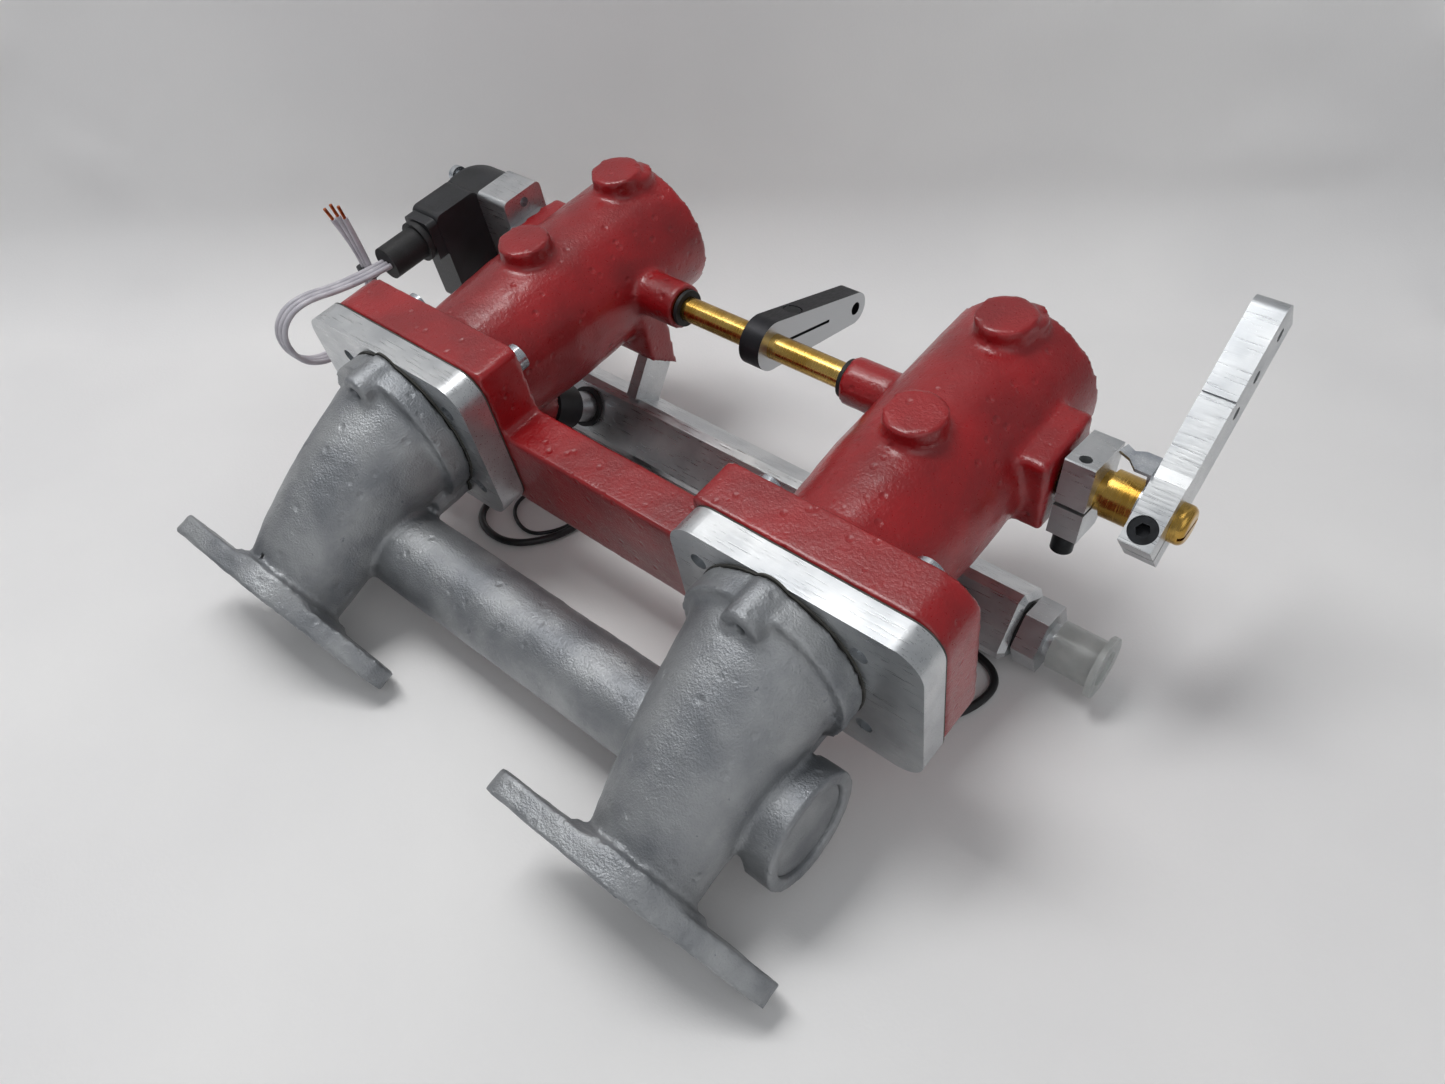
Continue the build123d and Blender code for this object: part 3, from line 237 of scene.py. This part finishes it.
def grid_faces(rows, columns):
    """Four corners for each cell of a grid whose points are numbered row by row."""
    first = (np.arange(rows - 1)[:, None] * columns + np.arange(columns - 1)).ravel()
    return np.stack([first, first + 1, first + columns + 1, first + columns], axis=1)


along, across = np.meshgrid(
    np.linspace(-1.6, 1.6, cloth_columns), np.linspace(-1.2, 1.0, cloth_rows)
)
along, across = along.ravel(), across.ravel()
bend_angle = np.clip(across / bend_radius, 0.0, np.pi / 2)
climb = np.clip(across - bend_radius * np.pi / 2, 0.0, None)
forward = np.minimum(across, 0.0) + bend_radius * np.sin(bend_angle) + fold_distance
height = bend_radius * (1.0 - np.cos(bend_angle)) + climb
flat = fold_along * along[:, None] + fold_away * forward[:, None]
sheet_points = np.column_stack([flat, height])
under_part = np.clip((np.hypot(flat[:, 0], flat[:, 1]) - 0.24) / 0.2, 0.0, 1.0)
folds = waves(np.column_stack([along, across]), (0.10, 0.42), 7)
ridges = np.clip(waves(np.column_stack([along, across]), (0.06, 0.3), 11), 0.4, 2.0) - 0.4
crease = 0.003 * folds * under_part + 0.006 * ridges * under_part
lean = np.clip(across / 0.05, 0.0, 1.0)
sheet_points[:, :2] -= fold_away * (crease * lean)[:, None]
sheet_points[:, 2] += crease * (1.0 - lean) - 0.0003
cloth_mesh = bpy.data.meshes.new("studio_cloth")
cloth_mesh.from_pydata(sheet_points.tolist(), [], grid_faces(cloth_rows, cloth_columns).tolist())
cloth_mesh.shade_smooth()
cloth = bpy.data.objects.new("studio_cloth", cloth_mesh)
bpy.context.scene.collection.objects.link(cloth)
print("cloth points:", len(sheet_points))

# %% [markdown]
# Daylight from a wide window overhead is soft: one big area light above and to the left gives the long pale
# highlight along each tube and a soft shadow to the right. A dim white sky fills the rest. The Standard view
# keeps the strong red as it is, where the usual film-like view would wash it out.

# %% Light


def lamp(name, place, aim, size, power):
    """A square area light at a place, turned to look at a point."""
    light = bpy.data.lights.new(name, "AREA")
    light.size = size
    light.energy = power
    lamp_object = bpy.data.objects.new(name, light)
    bpy.context.scene.collection.objects.link(lamp_object)
    look = Vector(place) - Vector(aim)
    lamp_object.rotation_euler = look.to_track_quat("Z", "Y").to_euler()
    lamp_object.location = place


part_middle = (0.0, 0.0, 0.03)
lamp("window_light", (-0.36, 0.02, 0.95), part_middle, 0.55, 10.5)
lamp("room_light", (0.75, -0.45, 0.75), part_middle, 0.9, 1.8)
world = bpy.data.worlds.new("pale_room")
world.use_nodes = True
sky = world.node_tree.nodes["Background"]
sky.inputs["Color"].default_value = (0.93, 0.96, 1.0, 1.0)
sky.inputs["Strength"].default_value = 0.30
bpy.context.scene.world = world
bpy.context.scene.view_settings.view_transform = "Standard"

# %% [markdown]
# Most finishes here have the same build: a colour that drifts between two tones in patches, a fine relief from
# the way the surface was made, a roughness that changes with the patches, and bare or pale material where edges
# are rubbed. One function puts these together; each finish then gives its own real sizes in millimetres.

# %% Helpers for finishes


def colour(code):
    """An sRGB hex code turned to the linear values that shaders use."""
    parts = [int(code[i : i + 2], 16) / 255.0 for i in (1, 3, 5)]
    linear = [v / 12.92 if v <= 0.04045 else ((v + 0.055) / 1.055) ** 2.4 for v in parts]
    return (*linear, 1.0)


def add(tree, kind, inputs=None, **settings):
    """Adds one node, sets it, and gives each input a value or a link."""
    made = tree.nodes.new("ShaderNode" + kind)
    for key, value in settings.items():
        setattr(made, key, value)
    for key, value in (inputs or {}).items():
        if isinstance(value, bpy.types.NodeSocket):
            tree.links.new(value, made.inputs[key])
        else:
            made.inputs[key].default_value = value
    return made


def finish(
    name,
    light,
    dark,
    metallic=0.0,
    rough=(0.35, 0.5),
    patch_mm=14.0,
    grain_mm=1.0,
    relief_mm=0.05,
    stretch=(1.0, 1.0, 1.0),
    turn=(0.0, 0.0, 0.0),
    worn=None,
    worn_rough=0.35,
    worn_mm=0.6,
    worn_reach=(0.04, 0.22),
    specks=None,
    speck_mm=3.0,
    speck_share=0.68,
    pit_mm=None,
    pit_depth_mm=0.2,
    coat=0.0,
    coat_rough=0.1,
    ior=1.5,
    transmission=0.0,
):
    """Patches, grain, rubbed edges, specks and pits on one Principled shader, with sizes in millimetres."""
    material = bpy.data.materials.new(name)
    material.use_nodes = True
    tree = material.node_tree
    tree.nodes.clear()
    place = add(tree, "TexCoord").outputs["Object"]
    drift = add(
        tree, "TexNoise", {"Vector": place, "Scale": 1000.0 / patch_mm, "Detail": 4.0}
    ).outputs["Fac"]
    drift = add(
        tree,
        "MapRange",
        {"Value": drift, "From Min": 0.36, "From Max": 0.64, "To Min": 0.0, "To Max": 1.0},
    ).outputs["Result"]
    tone = add(
        tree,
        "Mix",
        {"Factor": drift, "A": colour(dark), "B": colour(light)},
        data_type="RGBA",
    ).outputs["Result"]
    lined = add(
        tree, "Mapping", {"Vector": place, "Rotation": turn, "Scale": stretch}
    ).outputs["Vector"]
    grain = add(
        tree,
        "TexNoise",
        {"Vector": lined, "Scale": 1000.0 / grain_mm, "Detail": 3.0, "Roughness": 0.6},
    ).outputs["Fac"]
    roughness = add(
        tree,
        "MapRange",
        {"Value": grain, "From Min": 0.3, "From Max": 0.7, "To Min": rough[0], "To Max": rough[1]},
    ).outputs["Result"]
    normal = add(
        tree, "Bump", {"Height": grain, "Distance": relief_mm / 1000.0, "Strength": 1.0}
    ).outputs["Normal"]
    if pit_mm:
        pits = add(
            tree, "TexVoronoi", {"Vector": place, "Scale": 1000.0 / pit_mm}
        ).outputs["Distance"]
        pits = add(
            tree,
            "MapRange",
            {"Value": pits, "From Min": 0.05, "From Max": 0.22, "To Min": 0.0, "To Max": 1.0},
        ).outputs["Result"]
        normal = add(
            tree,
            "Bump",
            {"Height": pits, "Distance": pit_depth_mm / 1000.0, "Strength": 1.0, "Normal": normal},
        ).outputs["Normal"]
    if specks:
        spot = add(
            tree,
            "TexNoise",
            {"Vector": place, "Scale": 1000.0 / speck_mm, "Detail": 5.0, "Roughness": 0.7},
        ).outputs["Fac"]
        spot = add(
            tree,
            "MapRange",
            {
                "Value": spot,
                "From Min": speck_share,
                "From Max": speck_share + 0.05,
                "To Min": 0.0,
                "To Max": 0.8,
            },
        ).outputs["Result"]
        tone = add(
            tree, "Mix", {"Factor": spot, "A": tone, "B": colour(specks)}, data_type="RGBA"
        ).outputs["Result"]
    if worn:
        rounded = add(tree, "Bevel", {"Radius": worn_mm / 1000.0}, samples=4).outputs["Normal"]
        true_normal = add(tree, "NewGeometry").outputs["Normal"]
        bent = add(
            tree, "VectorMath", {0: rounded, 1: true_normal}, operation="DOT_PRODUCT"
        ).outputs["Value"]
        edge = add(tree, "Math", {0: 1.0, 1: bent}, operation="SUBTRACT").outputs["Value"]
        chafe = add(
            tree,
            "TexNoise",
            {"Vector": place, "Scale": 1000.0 / 4.0, "Detail": 5.0, "Roughness": 0.7},
        ).outputs["Fac"]
        edge = add(tree, "Math", {0: edge, 1: chafe}, operation="MULTIPLY").outputs["Value"]
        edge = add(
            tree,
            "MapRange",
            {
                "Value": edge,
                "From Min": worn_reach[0],
                "From Max": worn_reach[1],
                "To Min": 0.0,
                "To Max": 1.0,
            },
        ).outputs["Result"]
        tone = add(
            tree, "Mix", {"Factor": edge, "A": tone, "B": colour(worn)}, data_type="RGBA"
        ).outputs["Result"]
        roughness = add(
            tree, "Mix", {"Factor": edge, "A": roughness, "B": worn_rough}
        ).outputs["Result"]
    shader = add(
        tree,
        "BsdfPrincipled",
        {
            "Base Color": tone,
            "Metallic": metallic,
            "Roughness": roughness,
            "Normal": normal,
            "IOR": ior,
            "Coat Weight": coat,
            "Coat Roughness": coat_rough,
            "Transmission Weight": transmission,
        },
    )
    add(tree, "OutputMaterial", {"Surface": shader.outputs["BSDF"]})
    return material


# %% [markdown]
# Deep red enamel was brushed over a rough casting: glossy, with brush ridges about a millimetre apart, a few
# pinholes, and a paler, scuffed red where edges are rubbed.

# %% Red enamel
finishes = {}
finishes["red_paint"] = finish(
    "brushed_red_enamel",
    "#9a0a12",
    "#80070e",
    rough=(0.26, 0.42),
    patch_mm=24.0,
    grain_mm=1.1,
    relief_mm=0.22,
    worn="#cf6a66",
    worn_rough=0.5,
    worn_mm=0.7,
    worn_reach=(0.10, 0.42),
    specks="#d98f8b",
    speck_mm=2.2,
    speck_share=0.735,
    pit_mm=6.5,
    pit_depth_mm=0.35,
    coat=0.35,
    coat_rough=0.16,
)

# %% [markdown]
# The engine-side casting was sprayed with aluminium paint over sand-cast alloy: satin, with a grain of about
# half a millimetre, and darker stains in scattered spots.

# %% Silver-painted sand casting
finishes["cast_silver"] = finish(
    "silver_painted_sand_casting",
    "#a6a8aa",
    "#85888c",
    metallic=0.72,
    rough=(0.34, 0.52),
    patch_mm=20.0,
    grain_mm=0.7,
    relief_mm=0.30,
    worn="#cfd1d3",
    worn_rough=0.34,
    worn_mm=0.6,
    worn_reach=(0.08, 0.4),
    specks="#6d7077",
    speck_mm=5.0,
    speck_share=0.66,
    pit_mm=7.0,
    pit_depth_mm=0.25,
)

# %% [markdown]
# Milled aluminium alloy shows fine parallel tool lines, so its noise is stretched forty times along one
# direction. The lines are drawn at half a millimetre, coarser than the real ones, because those would not show.

# %% Milled alloy, brass and other metals
finishes["machined_alloy"] = finish(
    "milled_aluminium_alloy",
    "#d3d5d6",
    "#b7babd",
    metallic=0.9,
    rough=(0.24, 0.44),
    patch_mm=18.0,
    grain_mm=0.55,
    relief_mm=0.03,
    stretch=(0.05, 1.0, 1.0),
    turn=(0.0, 0.12, 0.2),
    worn="#f0f1f2",
    worn_rough=0.25,
    worn_mm=0.4,
    worn_reach=(0.05, 0.3),
    specks="#8f9398",
    speck_mm=3.5,
    speck_share=0.72,
)
finishes["brass"] = finish(
    "turned_brass",
    "#d8b468",
    "#b98f3f",
    metallic=1.0,
    rough=(0.16, 0.32),
    patch_mm=12.0,
    grain_mm=0.5,
    relief_mm=0.015,
    stretch=(1.0, 0.08, 0.08),
)
finishes["zinc_steel"] = finish(
    "zinc_plated_steel",
    "#d4d8dc",
    "#b3b8c0",
    metallic=0.95,
    rough=(0.16, 0.3),
    patch_mm=4.0,
    grain_mm=0.5,
    relief_mm=0.012,
    worn="#f2f4f6",
    worn_mm=0.2,
)
finishes["black_steel"] = finish(
    "black_oxide_steel",
    "#26282b",
    "#17181a",
    metallic=0.7,
    rough=(0.3, 0.48),
    patch_mm=4.0,
    grain_mm=0.5,
    relief_mm=0.015,
    worn="#6d7074",
    worn_mm=0.25,
    worn_reach=(0.1, 0.45),
)
finishes["black_anodised"] = finish(
    "black_anodised_alloy",
    "#26262a",
    "#1b1b1e",
    metallic=0.5,
    rough=(0.36, 0.5),
    patch_mm=8.0,
    grain_mm=0.6,
    relief_mm=0.02,
    stretch=(1.0, 0.1, 1.0),
    worn="#8a8c90",
    worn_mm=0.3,
    worn_reach=(0.16, 0.5),
)
finishes["copper"] = finish(
    "bare_copper_strands",
    "#c9764a",
    "#a3532c",
    metallic=1.0,
    rough=(0.25, 0.42),
    patch_mm=1.5,
    grain_mm=0.3,
    relief_mm=0.06,
    stretch=(1.0, 1.0, 0.1),
)

# %% [markdown]
# The plastics and rubbers are moulded: a fine spark-eroded texture about half a millimetre across on the black
# connector bodies, and a smoother, waxy skin on wires. The cap on the rail is translucent polythene.

# %% Plastics, rubber and wires
finishes["black_plastic"] = finish(
    "moulded_black_nylon",
    "#222327",
    "#17181a",
    rough=(0.38, 0.56),
    patch_mm=9.0,
    grain_mm=0.5,
    relief_mm=0.03,
    worn="#4a4c50",
    worn_mm=0.35,
    worn_reach=(0.12, 0.5),
)
finishes["rubber"] = finish(
    "black_nitrile_rubber",
    "#1d1d1f",
    "#141415",
    rough=(0.55, 0.7),
    patch_mm=6.0,
    grain_mm=0.7,
    relief_mm=0.03,
)
finishes["gasket"] = finish(
    "pressed_fibre_gasket",
    "#4b4a46",
    "#3a3936",
    rough=(0.75, 0.9),
    patch_mm=5.0,
    grain_mm=0.6,
    relief_mm=0.05,
)
finishes["grey_wire"] = finish(
    "pale_grey_pvc",
    "#c9c6cc",
    "#b3b0b8",
    rough=(0.4, 0.52),
    patch_mm=7.0,
    grain_mm=1.2,
    relief_mm=0.02,
)
finishes["black_wire"] = finish(
    "black_pvc",
    "#1c1c1f",
    "#131315",
    rough=(0.3, 0.42),
    patch_mm=7.0,
    grain_mm=1.2,
    relief_mm=0.02,
)
finishes["clear_cap"] = finish(
    "translucent_polythene",
    "#e3e6e4",
    "#d2d6d4",
    rough=(0.28, 0.42),
    patch_mm=6.0,
    grain_mm=1.5,
    relief_mm=0.05,
    transmission=0.62,
    ior=1.51,
)
cotton = finish(
    "white_cotton_sheet",
    "#efeeed",
    "#e7e6e6",
    rough=(0.8, 0.95),
    patch_mm=220.0,
    grain_mm=1.1,
    relief_mm=0.05,
)
cloth_mesh.materials.append(cotton)
print("finishes:", len(finishes))

# %% [markdown]
# The short lever in the middle was anodised black and then skimmed on its two flat sides, so its rim is black
# and its sides are bare, brushed metal. The direction that a face points decides which of the two it shows.

# %% Centre lever, black rim and milled sides


def milled_sides(name, rim, sides):
    """Two finishes on one piece: the sides' colour where a face points along the shaft, the rim's elsewhere."""
    material = rim.copy()
    material.name = name
    tree = material.node_tree
    shader = next(n for n in tree.nodes if n.type == "BSDF_PRINCIPLED")
    facing = add(tree, "TexCoord").outputs["Normal"]
    facing = add(tree, "SeparateXYZ", {"Vector": facing}).outputs["X"]
    facing = add(tree, "Math", {0: facing}, operation="ABSOLUTE").outputs["Value"]
    facing = add(tree, "Math", {0: facing, 1: 0.85}, operation="GREATER_THAN").outputs["Value"]
    for socket, side_value in (("Base Color", colour(sides)), ("Metallic", 0.9), ("Roughness", 0.34)):
        link = shader.inputs[socket].links
        kept = link[0].from_socket if link else shader.inputs[socket].default_value
        kind = {"data_type": "RGBA"} if socket == "Base Color" else {}
        mixed = add(tree, "Mix", {"Factor": facing, "A": kept, "B": side_value}, **kind)
        tree.links.new(mixed.outputs["Result"], shader.inputs[socket])
    return material


finishes["centre_lever"] = milled_sides("black_rim_milled_sides", finishes["black_anodised"], "#b9bbbd")

# %% [markdown]
# Each CAD node already names the finish it was drawn for, so one table from the record decides which of these
# materials goes into its slots.

# %% Give every node its finish
record = frame["record"]
slot_by_node = {entry["node"]: entry["material_slot"] for entry in record["subparts"]}
print("finishes used:", sorted(set(slot_by_node.values())))
for node, thing in frame["nodes"].items():
    chosen = finishes.get(node) or finishes[slot_by_node[node]]
    if not thing.data.materials:
        thing.data.materials.append(chosen)
    for index in range(len(thing.material_slots)):
        thing.material_slots[index].material = chosen
for node, wire in wires.items():
    wire.data.materials.append(finishes[slot_by_node[node]])

# %% [markdown]
# Sand casting leaves round edges and a skin that wanders by a few tenths of a millimetre. A copy of each
# casting is merged, remade in even cells a bit over a millimetre wide, relaxed a little so that its edges round
# off, and pressed inwards by soft waves. Inwards only, so that it never reaches into a neighbour.

# %% Castings with a sand-cast skin


def cast_skin(name, node, cell_mm, dips_mm, seed):
    """A node's copy remade in even cells; each point moves along its normal by the waves' depth, inwards."""
    source = bpy.data.meshes.new(name + "_source")
    merged = bmesh.new()
    merged.from_mesh(frame["nodes"][node].data)
    bmesh.ops.remove_doubles(merged, verts=merged.verts, dist=0.00001)
    merged.to_mesh(source)
    merged.free()
    holder = bpy.data.objects.new(name + "_source", source)
    bpy.context.scene.collection.objects.link(holder)
    remade = holder.modifiers.new("cells", "REMESH")
    remade.mode = "VOXEL"
    remade.voxel_size = cell_mm / 1000.0
    relaxed = holder.modifiers.new("round_edges", "SMOOTH")
    relaxed.factor = 0.5
    relaxed.iterations = 1
    bpy.context.view_layer.update()
    seen = holder.evaluated_get(bpy.context.evaluated_depsgraph_get())
    mesh = bpy.data.meshes.new_from_object(seen)
    bpy.data.objects.remove(holder)
    points = np.empty(len(mesh.vertices) * 3)
    normals = np.empty(len(mesh.vertices) * 3)
    mesh.vertices.foreach_get("co", points)
    mesh.vertices.foreach_get("normal", normals)
    points, normals = points.reshape(-1, 3), normals.reshape(-1, 3)
    long_waves = waves(points, (0.008, 0.03), seed, 14)
    short_waves = waves(points, (0.0035, 0.008), seed + 1, 14)
    depth = np.clip(0.5 + 0.3 * long_waves + 0.2 * short_waves, 0.0, 1.2)
    points -= normals * (depth * dips_mm / 1000.0)[:, None]
    mesh.vertices.foreach_set("co", points.ravel())
    mesh.update()
    mesh.shade_smooth()
    mesh.name = name
    mesh.materials.clear()
    mesh.materials.append(finishes[slot_by_node[node]])
    piece = bpy.data.objects.new(name, mesh)
    bpy.context.scene.collection.objects.link(piece)
    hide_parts(node)
    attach(piece, "manifold")
    triangles = sum(len(face.vertices) - 2 for face in mesh.polygons)
    print(name, "triangles:", triangles)
    return piece


red_skin = cast_skin("red_casting_skin", "throttle_casting", 1.3, 0.2, 3)
silver_skin = cast_skin("silver_casting_skin", "manifold_casting", 1.15, 0.3, 5)
